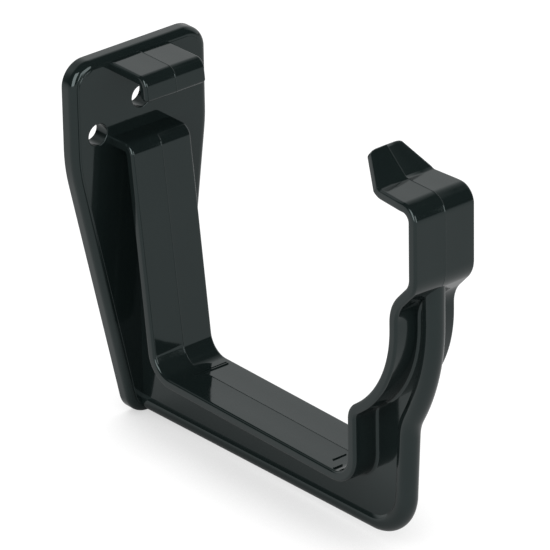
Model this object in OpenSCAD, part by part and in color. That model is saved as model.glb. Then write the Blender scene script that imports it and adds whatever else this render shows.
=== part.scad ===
// Rain-gutter fascia bracket, moulded in one piece.
// X runs out from the fascia board, Y along it, Z up.
// X = 0 is the plate's back, Y = 0 the mould's parting plane, Z = 0 the gutter's seat.
// The long curved strap is walked as a path of steps: [run, turn, bend radius].

/* [Strap] */
// Width of the strap that cradles the gutter, along the fascia
band_w = 20.3; // [14:0.1:30]
// Wall of the strap at the parting plane
band_t = 3.1; // [2:0.1:5]
// Rounding of the strap's long edges
band_edge_r = 0.5; // [0.2:0.1:0.9]

/* [Gutter space] */
// Back face of the riser, out from the fascia
riser_x = 100; // [70:0.1:140]
// Height of the spine's top over the seat
spine_h = 64.9; // [50:0.1:90]
// Where the spine's front face meets its top
spine_x = 13; // [11:0.1:20]
// Lean of the spine's front face, degrees
spine_lean = 7; // [2:0.5:12]
// Bend from the spine to the floor
heel_r = 6; // [4:0.5:12]
// Bend from the floor to the riser
toe_r = 6.5; // [4:0.5:12]
// Height at which the riser starts to turn outward
riser_h = 17.9; // [10:0.1:30]
// First outward turn of the riser, degrees
sweep = 54.5; // [40:0.5:65]
// Radius of that turn
sweep_r = 6.1; // [5:0.1:12]
// Radius of the hollow above it
hollow_r = 33.2; // [20:0.1:50]
// Second outward turn, under the hook, degrees
flare = 43; // [30:0.5:55]
// Radius of that turn
flare_r = 12; // [6:0.1:20]
// Straight between that turn and the next
flare_run = 5; // [1:0.1:10]
// Radius of the turn back up to the hook
cheek_r = 5; // [3.5:0.1:10]

/* [Front hook] */
// Height of the hook's underside over the seat
hook_h = 85.3; // [70:0.1:110]
// Bend inside the hook
hook_r = 2; // [1:0.1:5]
// Length of the hook's straight shelf
shelf = 10; // [5:0.1:16]
// Width of the shelf where the tongue begins
tongue_base_w = 17.2; // [12:0.1:20]
// Rise of the tongue from level, degrees
tongue_rise = 40; // [20:1:60]
// Length of the tongue
tongue_l = 9.6; // [6:0.1:16]
// Width of the tongue's tip
tongue_tip_w = 10.4; // [7:0.1:16]
// Rounding of the tongue's tip corners
tongue_r = 2; // [1:0.1:3]

/* [Rear clip] */
// Top of the clip over the seat
clip_h = 86.8; // [76:0.1:110]
// Reach of the clip's shelf from the fascia
clip_x = 19.6; // [14:0.1:28]
// Wall of the clip
clip_t = 2.9; // [2:0.1:4]
// Outer bend of the clip
clip_r = 3.1; // [3:0.1:6]
// Height of the lip's lower edge
clip_lip_h = 80; // [68:0.1:100]

/* [Fascia plate] */
// Width of the plate
plate_w = 45.9; // [38:0.1:60]
// Top of the plate over the seat
plate_h = 88.2; // [78:0.1:112]
// Depth of the plate
plate_d = 5; // [4:0.1:8]
// Rounding of the plate's front edge
plate_edge_r = 2.4; // [1:0.1:3.5]
// Rounding of the plate's top corners
plate_corner_r = 7; // [5:0.1:12]
// Height at which the plate starts to narrow
plate_shoulder = 63.5; // [45:0.1:75]
// Radius of the soft bend there
plate_bend_r = 50; // [30:1:80]
// Radius of the rounded foot
plate_foot_r = 6.8; // [5:0.1:9]
// Depth of the foot's lowest point under the seat
plate_foot = 21.5; // [15:0.1:30]

/* [Back of the plate] */
// Depth of the hollow in the back
core_d = 2; // [1:0.1:3]
// Width of the rim round the hollow
core_rim = 4.2; // [4:0.1:6]
// Width of the upright rib behind the web
core_rib = 5; // [3:0.1:8]
// Radius of the bosses round the screw holes
boss_r = 5.4; // [4.5:0.1:7]

/* [Screw holes] */
// Diameter of the screw holes
hole_d = 6.2; // [4:0.1:8]
// Height of the middle hole
hole_mid_h = 73.7; // [70:0.1:78]
// Side hole, distance from the middle
hole_side_y = 14.9; // [10:0.1:16]
// Height of the side hole
hole_side_h = 66.9; // [40:0.1:78]

/* [Web and bead] */
// Thickness of the web
web_t = 4.4; // [3:0.1:6]
// Radius of the round bead on the web's outer edge
bead_r = 3; // [2.3:0.1:4]
// Depth of the bead's start under the seat
bead_drop = 17.3; // [12:0.1:22]
// Climb of the bead's lower run, degrees
bead_climb = 1.4; // [0:0.1:6]
// Gap from the riser's back face to the bead's corner
bead_out = 12; // [8:0.1:20]
// Bend of the bead's lower corner
bead_corner_r = 11.7; // [5:0.1:20]
// Lean of the bead's front run, degrees
bead_lean = 3.3; // [0:0.1:8]
// Outward turn of the bead, degrees
bead_turn = 26; // [15:0.5:35]
// Radius of that turn
bead_turn_r = 14.4; // [8:0.1:30]
// Radius of the bead's long hollow
bead_hollow_r = 61; // [40:0.1:90]

/* [Moulding marks] */
// Height of the raised bars on the floor
mark_h = 0.3; // [0.2:0.05:0.6]
// Width of a raised bar
mark_w = 0.5; // [0.3:0.1:1]

/* [Hidden] */
// lap of a bend into its neighbours, and how far it sits under their faces
lap = 0.15;
skin = 0.02;
$fn = 96;
half_w = band_w / 2;
half_web = web_t / 2;

// one step of a path: p = [x, z, heading], s = [run, turn, bend radius]
function way(h) = [cos(h), sin(h)];
function side(h) = [-sin(h), cos(h)];
function sgn(a) = a < 0 ? -1 : 1;
function at(p) = [p[0], p[1]];
function hub(p, s) = at(p) + s[0] * way(p[2]) + sgn(s[1]) * s[2] * side(p[2]);
function rim(p, s, off, f) =
    hub(p, s) - (sgn(s[1]) * s[2] - off) * side(p[2] + f * s[1]);
function next(p, s) =
    let (q = s[1] == 0 ? at(p) + s[0] * way(p[2]) : rim(p, s, 0, 1))
    [q[0], q[1], p[2] + s[1]];
function walk(p, steps, i = 0) =
    i == len(steps) ? [p] : concat([p], walk(next(p, steps[i]), steps, i + 1));
// points along the path, off to its left by off
function trace(poses, steps, off, n) = concat(
    [at(poses[0]) + off * side(poses[0][2])],
    [for (i = [0 : len(steps) - 1]) let (m = ceil(abs(steps[i][1]) / n)) for (k = [0 : m])
        if (steps[i][1] != 0) rim(poses[i], steps[i], off, k / m)],
    [at(poses[len(steps)]) + off * side(poses[len(steps)][2])]);
function backward(v) = [for (i = [len(v) - 1 : -1 : 0]) v[i]];

// strap: plate - spine - floor - riser - hollow - hook shelf
spine_turn = spine_lean - 90;
spine_r = band_t + 0.4;
spine_from = [plate_d - 1.5, spine_h, 0];
spine_cut = spine_r * tan(-spine_turn / 2);
spine_face_x = spine_x - spine_from[0] - spine_cut;
heel_cut = heel_r * tan(-spine_turn / 2);
spine_run = (spine_h - 0) / cos(spine_lean) - spine_cut - heel_cut;
floor_from_x = spine_x + spine_h * tan(spine_lean) + heel_cut;
floor_run = riser_x - toe_r - floor_from_x;
link = 0.3;
hollow_end_h = riser_h + (sweep_r + hollow_r) * sin(sweep) + link * cos(sweep);
flare_start_h = hollow_end_h + 1.5;
cheek_end_h = flare_start_h + (flare_r + cheek_r) * sin(flare) + flare_run * cos(flare);
strap_steps = [
    [spine_face_x, spine_turn, spine_r],
    [spine_run, -spine_turn, heel_r],
    [floor_run, 90, toe_r],
    [riser_h - toe_r, -sweep, sweep_r],
    [link, sweep, hollow_r],
    [flare_start_h - hollow_end_h, -flare, flare_r],
    [flare_run, flare, cheek_r],
    [hook_h - hook_r - cheek_end_h, 90, hook_r],
    [shelf, -tongue_rise, band_t + 0.5]];
strap = walk(spine_from, strap_steps);
tongue_at = strap[len(strap_steps)];

// bead: plate foot - lower run - corner - front run - hollow - under the hook
bead_from = [plate_d - 2, -bead_drop, bead_climb];
bead_bend = 90 - bead_climb - bead_lean;
bead_front_x = riser_x + bead_out;
bead_run = (bead_front_x - bead_from[0]
    - bead_corner_r * (sin(bead_climb + bead_bend) - sin(bead_climb))) / cos(bead_climb);
bead_rise_h = 18.6;
bead_steps = [
    [bead_run, bead_bend, bead_corner_r],
    [bead_rise_h, -bead_turn, bead_turn_r],
    [link, bead_turn + bead_lean, bead_hollow_r],
    [16, 0, 1]];
bead = walk(bead_from, bead_steps);
bead_top = bead[len(bead_steps)];

// plate outline, clockwise from the top's left end
bend_hub = [plate_w / 2 - plate_bend_r, plate_shoulder];
foot_hub = [0, plate_foot_r - plate_foot];
hubs = bend_hub - foot_hub;
radii_gap = plate_foot_r - plate_bend_r;
taper = acos(radii_gap / norm(hubs)) - atan2(hubs[1], hubs[0]);
taper_run = sqrt(hubs * hubs - radii_gap * radii_gap);
plate_side = plate_h - plate_corner_r - plate_shoulder;
plate_steps = [
    [plate_w - 2 * plate_corner_r, -90, plate_corner_r],
    [plate_side, -taper, plate_bend_r],
    [taper_run, 2 * taper - 180, plate_foot_r],
    [taper_run, -taper, plate_bend_r],
    [plate_side, -90, plate_corner_r]];
outline = walk([plate_corner_r - plate_w / 2, plate_h, 0], plate_steps);

// sweeps a 2-D section, drawn as [across, left of the path], along the steps;
// each bend laps a little way into the runs beside it
module sweep_path(poses, steps, first = 0, last = 99) {
    for (i = [first : min(last, len(steps) - 1)]) {
        s = steps[i];
        turn = abs(s[1]);
        over = lap / s[2] * 180 / PI;
        translate([poses[i][0], 0, poses[i][1]])
            rotate([0, -poses[i][2], 0]) {
                if (s[0] > 0)
                    rotate([90, 0, 90])
                        linear_extrude(height = s[0])
                            let ($in = 0)
                                children();
                if (s[1] > 0)
                    translate([s[0], 0, s[2]])
                        rotate([90, 0, 0])
                            rotate([0, 0, -90 - over])
                                rotate_extrude(angle = turn + 2 * over)
                                    translate([s[2], 0])
                                        rotate(90)
                                            let ($in = skin)
                                                children();
                if (s[1] < 0)
                    translate([s[0], 0, -s[2]])
                        rotate([90, 0, 0])
                            rotate([0, 0, 90 - turn - over])
                                rotate_extrude(angle = turn + 2 * over)
                                    translate([s[2], 0])
                                        rotate(-90)
                                            let ($in = skin)
                                                children();
            }
    }
}

// section of the strap: a flat bar with rounded long edges
module strap_section(w, t, e) {
    y = w / 2 - $in;
    z = -$in;
    b = -t + $in;
    polygon([[-y + e, z], [y - e, z], [y, z - e], [y, b + e],
        [y - e, b], [-y + e, b], [-y, b + e], [-y, z - e]]);
    for (cy = [-y + e, y - e], cz = [z - e, b + e])
        translate([cy, cz])
            circle(r = e);
}

module cradle() {
    sweep_path(strap, strap_steps)
        strap_section(band_w, band_t, band_edge_r);
    tongue();
}

module tongue() {
    base = tongue_base_w / 2;
    lean = atan((base - tongue_tip_w / 2) / tongue_l);
    cx = tongue_l - tongue_r;
    cy = base - cx * tan(lean) - tongue_r / cos(lean);
    sx = cx + tongue_r * sin(lean);
    sy = cy + tongue_r * cos(lean);
    translate([tongue_at[0], 0, tongue_at[1]])
        rotate([0, -tongue_at[2], 0])
            translate([0, 0, -band_t])
                linear_extrude(height = band_t)
                    union() {
                        polygon([[0, -base], [sx, -sy], [tongue_l, -cy],
                            [tongue_l, cy], [sx, sy], [0, base]]);
                        for (s = [-1, 1])
                            translate([cx, s * cy])
                                circle(r = tongue_r);
                    }
}

// what is trimmed off each side of the shelf, so that it narrows to the tongue
module shelf_trim() {
    valley = [tongue_at[0] + band_t * sin(tongue_rise), tongue_base_w / 2];
    slope = (half_w - valley[1]) / shelf;
    far = 3;
    for (s = [-1, 1])
        translate([0, 0, hook_h - 2])
            linear_extrude(height = 30)
                polygon([
                    [valley[0] + shelf + far, s * (half_w + far * slope)],
                    [valley[0] - shelf, s * (valley[1] - shelf * slope)],
                    [valley[0] - shelf, s * (half_w + 5)],
                    [valley[0] + shelf + far, s * (half_w + 5)]]);
}

module rear_clip() {
    turn = spine_lean - 90;
    from = [plate_d - 1.5, clip_h, 0];
    cut = clip_r * tan(-turn / 2);
    steps = [
        [clip_x - from[0] - cut, turn, clip_r],
        [(clip_h - clip_lip_h) / cos(spine_lean) - cut, 0, 1]];
    sweep_path(walk(from, steps), steps)
        strap_section(band_w, clip_t, band_edge_r);
}

// rim of the plate: upright side wall, then the rounded front edge
module plate_rim() {
    wall = plate_d - skin - plate_edge_r - $in;
    front = wall + plate_edge_r;
    translate([wall, -plate_edge_r - $in])
        intersection() {
            circle(r = plate_edge_r);
            square(plate_edge_r + 1);
        }
    polygon([[$in, -$in], [wall, -$in], [wall, -$in - plate_edge_r],
        [front, -$in - plate_edge_r], [front, $in - core_rim], [$in, $in - core_rim]]);
}

module plate_core(inset) {
    polygon(trace(outline, plate_steps, -inset, 45));
}

module fascia_plate() {
    rotate([0, 0, 90])
        mirror([0, 1, 0])
            sweep_path(outline, plate_steps)
                plate_rim();
    translate([core_d, 0, 0])
        rotate([90, 0, 90])
            linear_extrude(height = plate_d - core_d)
                plate_core(core_rim - 0.6);
    // back: upright rib and screw bosses
    rotate([90, 0, 90])
        linear_extrude(height = core_d + 0.5)
            intersection() {
                plate_core(core_rim - 0.6);
                union() {
                    translate([-core_rib / 2, -plate_foot])
                        square([core_rib, plate_foot + plate_h]);
                    translate([0, hole_mid_h])
                        circle(r = boss_r);
                    translate([-hole_side_y, hole_side_h])
                        circle(r = boss_r);
                }
            }
}

module screw_holes() {
    for (c = [[0, hole_mid_h], [-hole_side_y, hole_side_h]])
        translate([-1, c[0], c[1]])
            rotate([0, 90, 0])
                cylinder(d = hole_d, h = plate_d + 2);
}

module web() {
    inner = trace(strap, strap_steps, -band_t / 2, 15);
    outer = trace(bead, bead_steps, 0, 10);
    roof = flare_start_h + 4;
    rotate([90, 0, 0])
        linear_extrude(height = web_t, center = true)
            polygon(concat(
                [for (q = inner) if (q[1] < spine_h + 1 && q[0] < bead_top[0] - 1.5) q],
                backward([for (q = outer) if (q[1] < roof) q])));
}

module edge_bead() {
    difference() {
        sweep_path(bead, bead_steps)
            circle(r = bead_r - $in);
        translate([strap[6][0], 0, strap[6][1]])
            rotate([0, -strap[6][2], 0])
                translate([-20, -half_w, -band_t / 2])
                    cube([60, band_w, 30]);
    }
}

module moulding_marks() {
    for (m = [[floor_from_x + 2, -3.5, 8.1], [floor_from_x + 2.8, -3.5, 8.1],
              [riser_x - 10.5, -6.2, -1.7], [riser_x - 6.8, -9.2, -6.2]])
        translate([m[0], m[1], -0.5])
            cube([mark_w, m[2] - m[1], 0.5 + mark_h]);
}

module bracket() {
    color("#25282a")
        difference() {
            union() {
                fascia_plate();
                rear_clip();
                cradle();
                web();
                edge_bead();
                moulding_marks();
            }
            screw_holes();
            shelf_trim();
        }
}

bracket();
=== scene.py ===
# Visual model of the gutter bracket: one glossy black moulding in a plain white studio.
# The bracket's lengths are in millimetres until they become mesh points, and the studio's are
# in metres. Angles are in degrees. The axes are those of the CAD frame: X out from the wall,
# Y to the far side, Z up.
from math import acos, atan, atan2, ceil, cos, degrees, hypot, pi, radians, sin, sqrt, tan

import bmesh
import bpy
from mathutils import Matrix, Vector

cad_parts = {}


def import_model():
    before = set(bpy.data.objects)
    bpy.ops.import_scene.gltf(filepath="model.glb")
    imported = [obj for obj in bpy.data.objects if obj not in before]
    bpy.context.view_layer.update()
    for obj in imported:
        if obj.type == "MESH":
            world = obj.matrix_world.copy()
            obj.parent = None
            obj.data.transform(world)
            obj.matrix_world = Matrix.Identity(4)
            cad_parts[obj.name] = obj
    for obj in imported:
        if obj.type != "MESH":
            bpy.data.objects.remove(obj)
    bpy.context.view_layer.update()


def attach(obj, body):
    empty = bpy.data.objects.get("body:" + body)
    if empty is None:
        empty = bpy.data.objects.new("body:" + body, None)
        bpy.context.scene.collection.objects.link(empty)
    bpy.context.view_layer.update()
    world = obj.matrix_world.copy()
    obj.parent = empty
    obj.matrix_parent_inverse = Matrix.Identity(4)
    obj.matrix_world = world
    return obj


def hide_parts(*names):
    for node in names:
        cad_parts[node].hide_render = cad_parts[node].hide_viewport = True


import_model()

MM = 0.001

# strap
BAND_W = 20.3
BAND_T = 3.1
BAND_EDGE_R = 0.8
RISER_X = 100.0
SPINE_H = 64.9
SPINE_X = 13.0
SPINE_LEAN = 7.0
SPINE_R = BAND_T + 0.4
HEEL_R = 6.0
TOE_R = 6.5
RISER_H = 17.9
SWEEP = 54.5
SWEEP_R = 6.1
LINK = 0.3
HOLLOW_R = 33.2
HOLLOW_TOP = 2.1
FLARE = 43.0
FLARE_R = 12.0
FLARE_RUN = 4.6
CHEEK_R = 5.0
# hook and tongue
HOOK_H = 84.9
HOOK_R = 2.0
SHELF = 9.0
VALLEY_R = BAND_T + 1.9
TONGUE_BASE_W = 18.8
TONGUE_RISE = 41.0
TONGUE_L = 9.8
TONGUE_TIP_W = 10.0
TONGUE_R = 1.8
# rear clip
CLIP_H = 86.8
CLIP_X = 19.6
CLIP_T = 2.9
CLIP_R = 3.1
CLIP_LIP_H = 80.0
# fascia plate
PLATE_W = 45.9
PLATE_H = 88.4
PLATE_D = 5.0
PLATE_EDGE_R = 2.1
PLATE_CORNER_R = 7.0
PLATE_SHOULDER = 63.5
PLATE_BEND_R = 50.0
PLATE_FOOT_R = 6.8
PLATE_FOOT_W = 6.5
PLATE_FOOT = 21.5
ROOT = 1.5          # how far the strap and the clip start inside the plate
BEAD_ROOT = 2.0     # and the bead
# the plate's back
CORE_D = 2.0
CORE_RIM = 4.2
CORE_RIM_FLARE = 0.3
CORE_RIB = 5.0
BOSS_R = 5.4
BACK_EDGE = 0.3
# screw holes
HOLE_R = 3.1
HOLES = ((0.0, 73.7), (-14.9, 66.9))
HOLE_LIP = 0.25
HOLE_BACK_LIP = 0.3
# web and bead
WEB_T = 4.4
BEAD_R = 3.0
BEAD_DROP = 17.3
BEAD_CLIMB = 1.4
BEAD_OUT = 12.0
BEAD_CORNER_R = 11.7
BEAD_LEAN = 3.3
BEAD_RISE_H = 18.6
BEAD_TURN = 26.0
BEAD_TURN_R = 14.4
BEAD_HOLLOW_R = 61.0
# what the mould leaves: crown, parting ridge, fillets and raised bars
CROWN = 0.08
CROWN_AT = 0.55     # share of the half width that has a row of points for the crown
RIDGE = 0.12
RIDGE_W = 0.2
FILLET = 0.9
FILLET_GAP = 0.01
STEP = 0.12
MARK_H = 0.3
MARK_W = 0.5
HEEL_MARKS = ((2, -3.5, 8.1), (2.8, -3.5, 8.1))        # past the heel, from y, to y
TOE_MARKS = ((10.5, -6.2, -1.7), (6.8, -9.2, -6.2))    # before the riser, from y, to y
# meshes
SLIVER = 0.01
SHARP = 32
CUT = 1.0           # how far a cutting tool stands out of what it cuts
END_EDGE = 0.98 * BAND_EDGE_R

# places of the strap's steps in strap_steps, each a straight run and the bend after it
ON_TOP, ON_SPINE, ON_FLOOR = 0, 1, 2
ON_UPRIGHT, ON_SLANT, ON_HOOK, ON_SHELF = 5, 6, 7, 8


# ---------------------------------------------------------------- paths of runs and bends
def move(pose, run, turn, radius):
    """The pose (x, z, heading) after a straight run and a bend."""
    x, z, h = pose
    x += run * cos(radians(h))
    z += run * sin(radians(h))
    if turn:
        s = 1 if turn > 0 else -1
        hub_x = x - s * radius * sin(radians(h))
        hub_z = z + s * radius * cos(radians(h))
        h += turn
        x = hub_x + s * radius * sin(radians(h))
        z = hub_z - s * radius * cos(radians(h))
    return x, z, h


def walk(pose, steps):
    """The poses at the start of each (run, turn, radius) step, and at the end."""
    poses = [pose]
    for s in steps:
        poses.append(move(poses[-1], *s))
    return poses


def sample(pose, steps, fine, long):
    """Stations (x, z, heading, step, share): one per fine degrees of bend or long mm of run.

    The share goes from 0 to 1 along the run and on to 2 round the bend.
    """
    out = [(*pose, 0, 0.0)]
    for i, (run, turn, radius) in enumerate(steps):
        n = max(1, ceil(run / long)) if run > 0 else 0
        for k in range(1, n + 1):
            out.append((*move(pose, run * k / n, 0, 0), i, k / n))
        if turn:
            m = max(2, ceil(abs(turn) / fine))
            for k in range(1, m + 1):
                out.append((*move(pose, run, turn * k / m, radius), i, 1 + k / m))
        pose = move(pose, run, turn, radius)
    return out


def place(station, y, off):
    """The point y across and off to the left of a station."""
    h = radians(station[2])
    return station[0] - off * sin(h), y, station[1] + off * cos(h)


def strap_steps():
    turn = SPINE_LEAN - 90
    spine_cut = SPINE_R * tan(radians(-turn / 2))
    heel_cut = HEEL_R * tan(radians(-turn / 2))
    floor_x = SPINE_X + SPINE_H * tan(radians(SPINE_LEAN)) + heel_cut
    hollow_h = RISER_H + (SWEEP_R + HOLLOW_R) * sin(radians(SWEEP)) + LINK * cos(radians(SWEEP))
    cheek_h = (hollow_h + HOLLOW_TOP + (FLARE_R + CHEEK_R) * sin(radians(FLARE))
               + FLARE_RUN * cos(radians(FLARE)))
    return [
        (SPINE_X - PLATE_D + ROOT - spine_cut, turn, SPINE_R),
        (SPINE_H / cos(radians(SPINE_LEAN)) - spine_cut - heel_cut, -turn, HEEL_R),
        (RISER_X - TOE_R - floor_x, 90, TOE_R),
        (RISER_H - TOE_R, -SWEEP, SWEEP_R),
        (LINK, SWEEP, HOLLOW_R),
        (HOLLOW_TOP, -FLARE, FLARE_R),
        (FLARE_RUN, FLARE, CHEEK_R),
        (HOOK_H - HOOK_R - cheek_h, 90, HOOK_R),
        (SHELF, -TONGUE_RISE, VALLEY_R)]


def bead_steps():
    bend = 90 - BEAD_CLIMB - BEAD_LEAN
    run = (RISER_X + BEAD_OUT - BEAD_FROM[0] - BEAD_CORNER_R
           * (sin(radians(BEAD_CLIMB + bend)) - sin(radians(BEAD_CLIMB)))) / cos(radians(BEAD_CLIMB))
    return [
        (run, bend, BEAD_CORNER_R),
        (BEAD_RISE_H, -BEAD_TURN, BEAD_TURN_R),
        (LINK, BEAD_TURN + BEAD_LEAN, BEAD_HOLLOW_R)]


def outline_steps():
    """The plate's outline, clockwise from the top's near end. Its far side narrows less."""
    gap = PLATE_FOOT_R - PLATE_BEND_R

    def side(foot_y):
        """Taper and length of a side whose foot bend is centred at foot_y."""
        y = PLATE_W / 2 - PLATE_BEND_R - foot_y
        z = PLATE_SHOULDER + PLATE_FOOT - PLATE_FOOT_R
        taper = degrees(acos(gap / hypot(y, z)) - atan2(z, y))
        return taper, sqrt(y * y + z * z - gap * gap)

    far, far_run = side(PLATE_FOOT_W)
    near, near_run = side(0)
    upright = PLATE_H - PLATE_CORNER_R - PLATE_SHOULDER
    return [
        (PLATE_W - 2 * PLATE_CORNER_R, -90, PLATE_CORNER_R),
        (upright, -far, PLATE_BEND_R),
        (far_run, far - 90, PLATE_FOOT_R),
        (PLATE_FOOT_W, near - 90, PLATE_FOOT_R),
        (near_run, -near, PLATE_BEND_R),
        (upright, -90, PLATE_CORNER_R)]


STRAP_FROM = (PLATE_D - ROOT, SPINE_H, 0.0)
STRAP = strap_steps()
STRAP_AT = walk(STRAP_FROM, STRAP)
BEAD_FROM = (PLATE_D - BEAD_ROOT, -BEAD_DROP, BEAD_CLIMB)
BEAD = bead_steps()
OUTLINE_FROM = (PLATE_CORNER_R - PLATE_W / 2, PLATE_H, 0.0)
OUTLINE = sample(OUTLINE_FROM, outline_steps(), fine=3.0, long=4.0)[:-1]


# ---------------------------------------------------------------- meshes
def link(name, data):
    """A new object in the scene."""
    ob = bpy.data.objects.new(name, data)
    bpy.context.collection.objects.link(ob)
    return ob


def loft(bm, rings):
    """Quads from ring to ring, and a face over each end. A ring is a closed loop of points."""
    loops = [[bm.verts.new(Vector(p) * MM) for p in ring] for ring in rings]
    n = len(loops[0])
    for a, b in zip(loops, loops[1:]):
        for k in range(n):
            bm.faces.new((a[k], a[(k + 1) % n], b[(k + 1) % n], b[k]))
    bm.faces.new(loops[0][::-1])
    bm.faces.new(loops[-1])


def solid(name, rings):
    bm = bmesh.new()
    loft(bm, rings)
    bmesh.ops.recalc_face_normals(bm, faces=bm.faces)
    mesh = bpy.data.meshes.new(name)
    bm.to_mesh(mesh)
    bm.free()
    return link(name, mesh)


def combine(ob, tool, operation):
    """Unites or subtracts tool, which is used up."""
    mod = ob.modifiers.new("combine", "BOOLEAN")
    mod.operation = operation
    mod.solver = "EXACT"
    mod.object = tool
    graph = bpy.context.evaluated_depsgraph_get()
    mesh = bpy.data.meshes.new_from_object(ob.evaluated_get(graph), depsgraph=graph)
    ob.modifiers.remove(mod)
    old = ob.data
    ob.data = mesh
    bpy.data.meshes.remove(old)
    used = tool.data
    bpy.data.objects.remove(tool)
    bpy.data.meshes.remove(used)


def disc(x, y, z, r, n=64):
    """n points of a circle that faces along X."""
    return [(x, y + r * cos(2 * pi * k / n), z + r * sin(2 * pi * k / n)) for k in range(n)]


def quarter(n, start=1):
    """Angles from 0 to a quarter turn in n steps, in radians."""
    return [pi / 2 * k / n for k in range(start, n + 1)]


def bar_section(half, thick, inset):
    """Section of a moulded bar as (across, off): crowned faces, a parting ridge, round edges."""
    half -= inset
    edge = BAND_EDGE_R
    across = (half - edge, CROWN_AT * half, RIDGE_W, 0, -RIDGE_W, -CROWN_AT * half, edge - half)
    ridge = RIDGE * max(0.0, 1 - inset / edge)
    arc = 5

    def face(level, up):
        return [(y, level - up * (CROWN * abs(y) / half - (ridge if y == 0 else 0))) for y in across]

    def corner(y, z, start, skip):
        """A round edge, without its first point or its last, which a face has already."""
        ends = range(1, arc + 1) if skip else range(arc)
        turn = [radians(start + 90 * k / arc) for k in ends]
        return [(y + edge * cos(a), z + edge * sin(a)) for a in turn]

    top, bottom = -inset, inset - thick
    fall = CROWN * (half - edge) / half + edge
    return (face(top, 1) + corner(edge - half, top - fall, 90, True)
            + corner(edge - half, bottom + fall, 180, False) + face(bottom, -1)[::-1]
            + corner(half - edge, bottom + fall, 270, True)
            + corner(half - edge, top - fall, 0, False))


def bar_ring(station, half, thick, inset=0.0):
    return [place(station, y, off) for y, off in bar_section(half, thick, inset)]


def strap():
    end = STRAP_AT[-1]
    valley_x = end[0] + BAND_T * sin(radians(TONGUE_RISE))
    slope = (BAND_W - TONGUE_BASE_W) / 2 / SHELF
    rings = []
    for s in sample(STRAP_FROM, STRAP, fine=2.5, long=1.5):
        half = BAND_W / 2
        if s[3] == ON_SHELF:
            middle = s[0] + 0.5 * BAND_T * sin(radians(s[2]))
            half -= slope * max(0.0, valley_x + SHELF - middle)
        rings.append(bar_ring(s, half, BAND_T))
    # the tongue narrows from here to two rounded corners
    base = half
    lean = atan((base - TONGUE_TIP_W / 2) / TONGUE_L)
    hub_x = TONGUE_L - TONGUE_R
    hub_y = base - hub_x * tan(lean) - TONGUE_R / cos(lean)
    tangent = hub_x + TONGUE_R * sin(lean)
    sides, corners = 4, 14
    shape = [(tangent * k / sides, base - tangent * k / sides * tan(lean))
             for k in range(1, sides + 1)]
    for k in range(1, corners + 1):
        a = lean + (pi / 2 - lean) * k / corners
        shape.append((hub_x + TONGUE_R * sin(a), hub_y + TONGUE_R * cos(a)))
    for u, half in shape:
        past = max(0.0, u - TONGUE_L + END_EDGE)
        inset = END_EDGE - sqrt(max(0.0, END_EDGE * END_EDGE - past * past))
        rings.append(bar_ring(move(end, u, 0, 0), half, BAND_T, inset))
    return solid("strap", rings)


def fillet(side):
    """Concave strip in the corner between the web and the strap's back."""
    y0 = WEB_T / 2
    in_web, in_strap = y0 - 0.4, 0.5
    back = CROWN * (y0 + FILLET) / (BAND_W / 2) - BAND_T
    top = back - FILLET_GAP
    section = [(in_web, back + in_strap), (y0 + FILLET, back + in_strap), (y0 + FILLET, top)]
    for k in range(1, 7):
        a = radians(90 + 90 * k / 6)
        section.append((y0 + FILLET + FILLET * cos(a), top - FILLET + FILLET * sin(a)))
    section.append((in_web, top - FILLET))
    # from the middle of the first bend to most of the way along the slanting run
    first, last = 1.55, 0.7
    stations = [s for s in sample(STRAP_FROM, STRAP, fine=4.0, long=6.0)
                if (s[3] == ON_TOP and s[4] > first) or ON_SPINE <= s[3] <= ON_UPRIGHT
                or (s[3] == ON_SLANT and s[4] < last)]
    return solid("fillet", [[place(s, side * y, off) for y, off in section] for s in stations])


def rear_clip():
    turn = SPINE_LEAN - 90
    cut = CLIP_R * tan(radians(-turn / 2))
    start = (PLATE_D - ROOT, CLIP_H, 0.0)
    steps = [(CLIP_X - start[0] - cut, turn, CLIP_R)]
    lip = (CLIP_H - CLIP_LIP_H) / cos(radians(SPINE_LEAN)) - cut
    rings = [bar_ring(s, BAND_W / 2, CLIP_T)
             for s in sample(start, steps, fine=4.0, long=2.0)]
    corner = walk(start, steps)[-1]
    ends = [(END_EDGE * (1 - sin(a)), END_EDGE * (1 - cos(a))) for a in quarter(6, 0)]
    for back, inset in [(lip / 2, 0.0)] + ends:
        rings.append(bar_ring(move(corner, lip - back, 0, 0), BAND_W / 2, CLIP_T, inset))
    return solid("rear_clip", rings)


def web():
    whole = 200    # longer than any run, so that each run is one edge
    short = 1.5    # how far the inner edge stops before the bead's end
    inner = [place(s, 0, -BAND_T / 2)
             for s in sample(STRAP_FROM, STRAP[:ON_HOOK], fine=6.0, long=whole)]
    end_x = walk(BEAD_FROM, BEAD)[-1][0]
    inner = [(p[0], p[2]) for p in inner if p[0] < end_x - short]
    outer = [(s[0], s[1]) for s in sample(BEAD_FROM, BEAD, fine=6.0, long=whole)
             if s[1] < STRAP_AT[ON_SLANT][1]]
    loop = inner + outer[::-1]
    return solid("web", [[(x, y, z) for x, z in loop] for y in (-WEB_T / 2, WEB_T / 2)])


def bead():
    around = [(y, z) for _, y, z in disc(0, 0, 0, BEAD_R, 40)]
    stations = sample(BEAD_FROM, BEAD, fine=2.5, long=6.0)
    rings = [[place(s, y, off) for y, off in around] for s in stations]
    # the end runs up into the slanting run under the hook
    slant = 1 / tan(radians(FLARE))
    sink = 0.5 * BAND_T / sin(radians(FLARE))
    roof_x, roof_z = STRAP_AT[ON_SLANT][:2]
    x_end = stations[-1][0]
    rings.append([(x_end - off, y, roof_z + (x_end - off - roof_x) * slant - sink)
                  for y, off in around])
    return solid("bead", rings)


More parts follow.
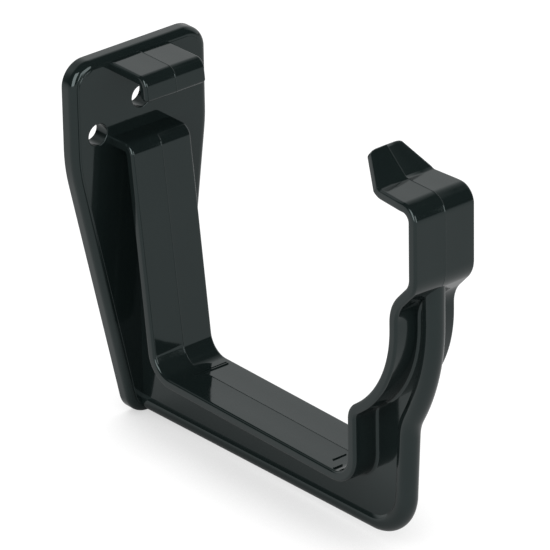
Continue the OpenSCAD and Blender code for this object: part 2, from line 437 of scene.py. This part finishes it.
def plate():
    def ring(inset, x):
        return [(x, p[0], p[2]) for p in (place(s, 0, -inset) for s in OUTLINE)]

    wall = PLATE_D - PLATE_EDGE_R - STEP
    guard = 0.3    # a ring this far before the rounding keeps the wall flat
    layers = [(0.0, BACK_EDGE), (0.3 * BACK_EDGE, 0.3 * BACK_EDGE), (BACK_EDGE, 0.0),
              (wall - guard, 0.0), (wall, 0.0)]
    for a in quarter(12):
        layers.append((wall + PLATE_EDGE_R * sin(a), PLATE_EDGE_R * (1 - cos(a))))
    # the face stands a hair proud of the rounding
    layers += [(PLATE_D - STEP, PLATE_EDGE_R + 0.05), (PLATE_D - 0.03, PLATE_EDGE_R + 0.1),
               (PLATE_D, PLATE_EDGE_R + 0.18)]
    body = solid("plate", [ring(inset, x) for x, inset in layers])
    mouth = CORE_RIM - CORE_RIM_FLARE
    pocket = solid("pocket", [ring(mouth, -CUT), ring(mouth, 0.0),
                              ring(CORE_RIM, 0.6), ring(CORE_RIM + 0.1, CORE_D)])
    half = CORE_RIB / 2
    through = (-2 * CUT, CORE_D + CUT)
    below, above = -30, 100
    rib = solid("rib", [[(x, -half, below), (x, half, below), (x, half, above), (x, -half, above)]
                        for x in through])
    combine(pocket, rib, "DIFFERENCE")
    for y, z in HOLES:
        boss = solid("boss", [disc(x, y, z, BOSS_R) for x in through])
        combine(pocket, boss, "DIFFERENCE")
    combine(body, pocket, "DIFFERENCE")
    for y, z in HOLES:
        combine(body, screw_bore(y, z), "DIFFERENCE")
    return body


def screw_bore(y, z):
    back_r = HOLE_R + HOLE_BACK_LIP
    front = PLATE_D - HOLE_LIP
    profile = [(-CUT, back_r), (0.0, back_r), (HOLE_BACK_LIP, HOLE_R), (front, HOLE_R)]
    for a in quarter(6):
        profile.append((front + HOLE_LIP * sin(a), HOLE_R + HOLE_LIP * (1 - cos(a))))
    profile.append((PLATE_D + CUT, HOLE_R + HOLE_LIP))
    return solid("bore", [disc(x, y, z, r) for x, r in profile])


def mould_bar(x, y0, y1):
    """A low raised bar with sloping sides on the floor."""
    levels = [(-0.5, 0.0), (MARK_H - 0.08, 0.03), (MARK_H, 0.12)]    # z, inset
    return solid("bar", [[(x + i, y0 + i, z), (x + MARK_W - i, y0 + i, z),
                          (x + MARK_W - i, y1 - i, z), (x + i, y1 - i, z)] for z, i in levels])


def moulding():
    body = strap()
    heel_x = STRAP_AT[ON_FLOOR][0]
    bars = [mould_bar(heel_x + past, y0, y1) for past, y0, y1 in HEEL_MARKS]
    bars += [mould_bar(RISER_X - before, y0, y1) for before, y0, y1 in TOE_MARKS]
    for part in [web(), bead(), fillet(1), fillet(-1), plate(), rear_clip()] + bars:
        combine(body, part, "UNION")
    mesh = body.data
    # clear the slivers where surfaces almost meet
    bm = bmesh.new()
    bm.from_mesh(mesh)
    bmesh.ops.remove_doubles(bm, verts=bm.verts, dist=SLIVER * MM)
    bmesh.ops.dissolve_degenerate(bm, dist=SLIVER * MM, edges=bm.edges)
    bmesh.ops.triangulate(bm, faces=[f for f in bm.faces if len(f.verts) > 4])
    bm.to_mesh(mesh)
    bm.free()
    for face in mesh.polygons:
        face.use_smooth = True
    mesh.set_sharp_from_angle(angle=radians(SHARP))
    body.name = mesh.name = "bracket_moulding"
    weigh = body.modifiers.new("normals", "WEIGHTED_NORMAL")
    weigh.keep_sharp = True
    weigh.weight = 80
    return body


# ---------------------------------------------------------------- material
def glossy_black():
    """Black plastic with a faint change of tone, gloss and flatness from place to place."""
    mat = bpy.data.materials.new("glossy_black")
    mat.use_nodes = True
    nodes, links = mat.node_tree.nodes, mat.node_tree.links
    shader = nodes["Principled BSDF"]
    shader.inputs["IOR"].default_value = 1.5
    shader.inputs["Specular Tint"].default_value = (0.82, 0.97, 0.97, 1)
    where = nodes.new("ShaderNodeTexCoord")

    def noise(scale, detail):
        node = nodes.new("ShaderNodeTexNoise")
        node.inputs["Scale"].default_value = scale
        node.inputs["Detail"].default_value = detail
        links.new(where.outputs["Object"], node.inputs["Vector"])
        return node.outputs["Fac"]

    tint = nodes.new("ShaderNodeMix")
    tint.data_type = "RGBA"
    tint.inputs["A"].default_value = (0.0038, 0.0065, 0.0064, 1)
    tint.inputs["B"].default_value = (0.006, 0.009, 0.0088, 1)
    links.new(noise(scale=60, detail=3), tint.inputs["Factor"])
    links.new(tint.outputs["Result"], shader.inputs["Base Color"])
    gloss = nodes.new("ShaderNodeMapRange")
    spread = {"From Min": 0.3, "From Max": 0.7, "To Min": 0.05, "To Max": 0.11}
    for key, v in spread.items():
        gloss.inputs[key].default_value = v
    links.new(noise(scale=140, detail=4), gloss.inputs["Value"])
    links.new(gloss.outputs["Result"], shader.inputs["Roughness"])
    wave = nodes.new("ShaderNodeBump")
    wave.inputs["Strength"].default_value = 0.25
    wave.inputs["Distance"].default_value = 0.04 * MM
    links.new(noise(scale=220, detail=2), wave.inputs["Height"])
    links.new(wave.outputs["Normal"], shader.inputs["Normal"])
    return mat


# ---------------------------------------------------------------- studio
MIDDLE = Vector((0.06, 0, 0.03))    # the lamps aim here, and the floor lies under it
FLOOR_GREY = 0.16
FLOOR_RADIUS = 6.0
FLOOR_GAP = 0.05    # in millimetres, under the plate's foot
BACKDROP = 140.5    # azimuth of the backdrop that the glossy faces mirror
BACKDROP_LIGHT = 0.78
ROOM_LIGHT = 0.02


def toward(azimuth, elevation):
    a, e = radians(azimuth), radians(elevation)
    return Vector((cos(e) * cos(a), cos(e) * sin(a), sin(e)))


def camera():
    """From the front, to the near side and above, with a long lens."""
    back = toward(azimuth=-39.52, elevation=26.64)
    level = Vector((0, 0, 1)).cross(back).normalized()
    roll = radians(-1.006)
    right = cos(roll) * level + sin(roll) * back.cross(level)
    up = back.cross(right)
    # a point on the bracket, and where it lies from the eye, in millimetres
    aim = Vector((26.3, -9.7, -1.0)) * MM
    aside, above, ahead = -28.24, -29.05, 1579
    eye = aim - (aside * right + above * up - ahead * back) * MM
    data = bpy.data.cameras.new("camera")
    data.sensor_width = 36.0
    data.lens = 384.3
    data.clip_start = 0.05
    data.clip_end = 20.0
    cam = link("camera", data)
    cam.matrix_world = Matrix.Translation(eye) @ Matrix((right, up, back)).transposed().to_4x4()
    bpy.context.scene.camera = cam


def lamp(name, azimuth, elevation, distance, width, height, power):
    data = bpy.data.lights.new(name, "AREA")
    data.shape = "RECTANGLE"
    data.size = width
    data.size_y = height
    data.energy = power
    ob = link(name, data)
    aim = toward(azimuth, elevation)
    ob.location = MIDDLE + distance * aim
    ob.rotation_euler = aim.to_track_quat("Z", "Y").to_euler()


def helpers(nodes, links):
    """Makers of a Math node and a smooth Map Range node, the camera rays and the glossy rays."""
    def math(op, a, b):
        node = nodes.new("ShaderNodeMath")
        node.operation = op
        for k, v in enumerate((a, b)):
            if isinstance(v, (int, float)):
                node.inputs[k].default_value = v
            else:
                links.new(v, node.inputs[k])
        return node.outputs[0]

    def ease(value, start, end, low, high):
        node = nodes.new("ShaderNodeMapRange")
        node.interpolation_type = "SMOOTHSTEP"
        for key, v in zip(("From Min", "From Max", "To Min", "To Max"), (start, end, low, high)):
            node.inputs[key].default_value = v
        links.new(value, node.inputs["Value"])
        return node.outputs["Result"]

    path = nodes.new("ShaderNodeLightPath")
    plain = math("MAXIMUM", path.outputs["Is Camera Ray"], path.outputs["Is Transmission Ray"])
    return math, ease, plain, path.outputs["Is Glossy Ray"]


def floor():
    """Near white for the camera, with a soft contact shadow painted in from ambient occlusion;
    greyer and fading in reflections, where the painted shadow is deeper.
    """
    bm = bmesh.new()
    bmesh.ops.create_circle(bm, cap_ends=True, segments=64, radius=FLOOR_RADIUS)
    mesh = bpy.data.meshes.new("floor")
    bm.to_mesh(mesh)
    bm.free()
    ob = link("floor", mesh)
    ob.location = (MIDDLE.x, MIDDLE.y, -(PLATE_FOOT + FLOOR_GAP) * MM)
    mat = bpy.data.materials.new("white_floor")
    mat.use_nodes = True
    nodes, links = mat.node_tree.nodes, mat.node_tree.links
    nodes.clear()
    out = nodes.new("ShaderNodeOutputMaterial")
    paper = nodes.new("ShaderNodeBsdfDiffuse")
    paper.inputs["Color"].default_value = (FLOOR_GREY, FLOOR_GREY, FLOOR_GREY, 1)
    glow = nodes.new("ShaderNodeEmission")
    near = nodes.new("ShaderNodeAmbientOcclusion")
    near.samples = 8
    near.inputs["Distance"].default_value = 0.03
    where = nodes.new("ShaderNodeTexCoord")
    reach = nodes.new("ShaderNodeVectorMath")
    reach.operation = "LENGTH"
    links.new(where.outputs["Object"], reach.inputs[0])
    math, ease, plain, glossy = helpers(nodes, links)
    # ambient occlusion darkens the glow near the bracket: a painted contact shadow for the camera,
    # and a deeper painted shadow in reflections
    open_sky = near.outputs["AO"]
    white = math("MULTIPLY", plain, ease(open_sky, start=0.2, end=1.0, low=0.55, high=0.9))
    painted_shade = math("POWER", open_sky, 2)
    fade = ease(reach.outputs["Value"], start=0.2, end=1.6, low=0.42, high=0.12)
    mirrored = math("MULTIPLY", glossy, math("MULTIPLY", painted_shade, fade))
    links.new(math("ADD", white, mirrored), glow.inputs["Strength"])
    both = nodes.new("ShaderNodeAddShader")
    links.new(paper.outputs[0], both.inputs[0])
    links.new(glow.outputs[0], both.inputs[1])
    links.new(both.outputs[0], out.inputs["Surface"])
    mesh.materials.append(mat)


def world():
    """White for the camera and as light. Glossy faces see a backdrop behind and a dark room."""
    w = bpy.data.worlds.new("studio")
    bpy.context.scene.world = w
    w.use_nodes = True
    nodes, links = w.node_tree.nodes, w.node_tree.links
    background = nodes["Background"]
    where = nodes.new("ShaderNodeTexCoord")
    split = nodes.new("ShaderNodeSeparateXYZ")
    links.new(where.outputs["Generated"], split.inputs[0])
    x, y, z = (split.outputs[k] for k in "XYZ")

    math, ease, plain, glossy = helpers(nodes, links)
    back = toward(BACKDROP, 0)
    ahead = math("ADD", math("MULTIPLY", x, back.x), math("MULTIPLY", y, back.y))
    low = math("MULTIPLY", ease(z, start=0.45, end=0.95, low=1, high=0),
               ease(z, start=0.77, end=0.81, low=1, high=0))
    wide = ease(ahead, start=0.1, end=0.4, low=0, high=1)
    backdrop = math("MULTIPLY", low, wide)
    room = math("ADD", math("MULTIPLY", backdrop, BACKDROP_LIGHT), ROOM_LIGHT)
    fill = math("SUBTRACT", 1, math("MAXIMUM", plain, glossy))
    total = math("ADD", math("ADD", plain, math("MULTIPLY", glossy, room)), fill)
    background.inputs["Color"].default_value = (1, 1, 1, 1)
    links.new(total, background.inputs["Strength"])


bracket = moulding()
bracket.data.materials.clear()
bracket.data.materials.append(glossy_black())
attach(bracket, "root")
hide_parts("bracket")

floor()
world()
camera()
lamp("strip", azimuth=-60, elevation=26, distance=1.2, width=0.85, height=1.2, power=14)
lamp("side", azimuth=12, elevation=14, distance=1.2, width=0.8, height=0.7, power=6)
bpy.context.scene.view_settings.view_transform = "Standard"
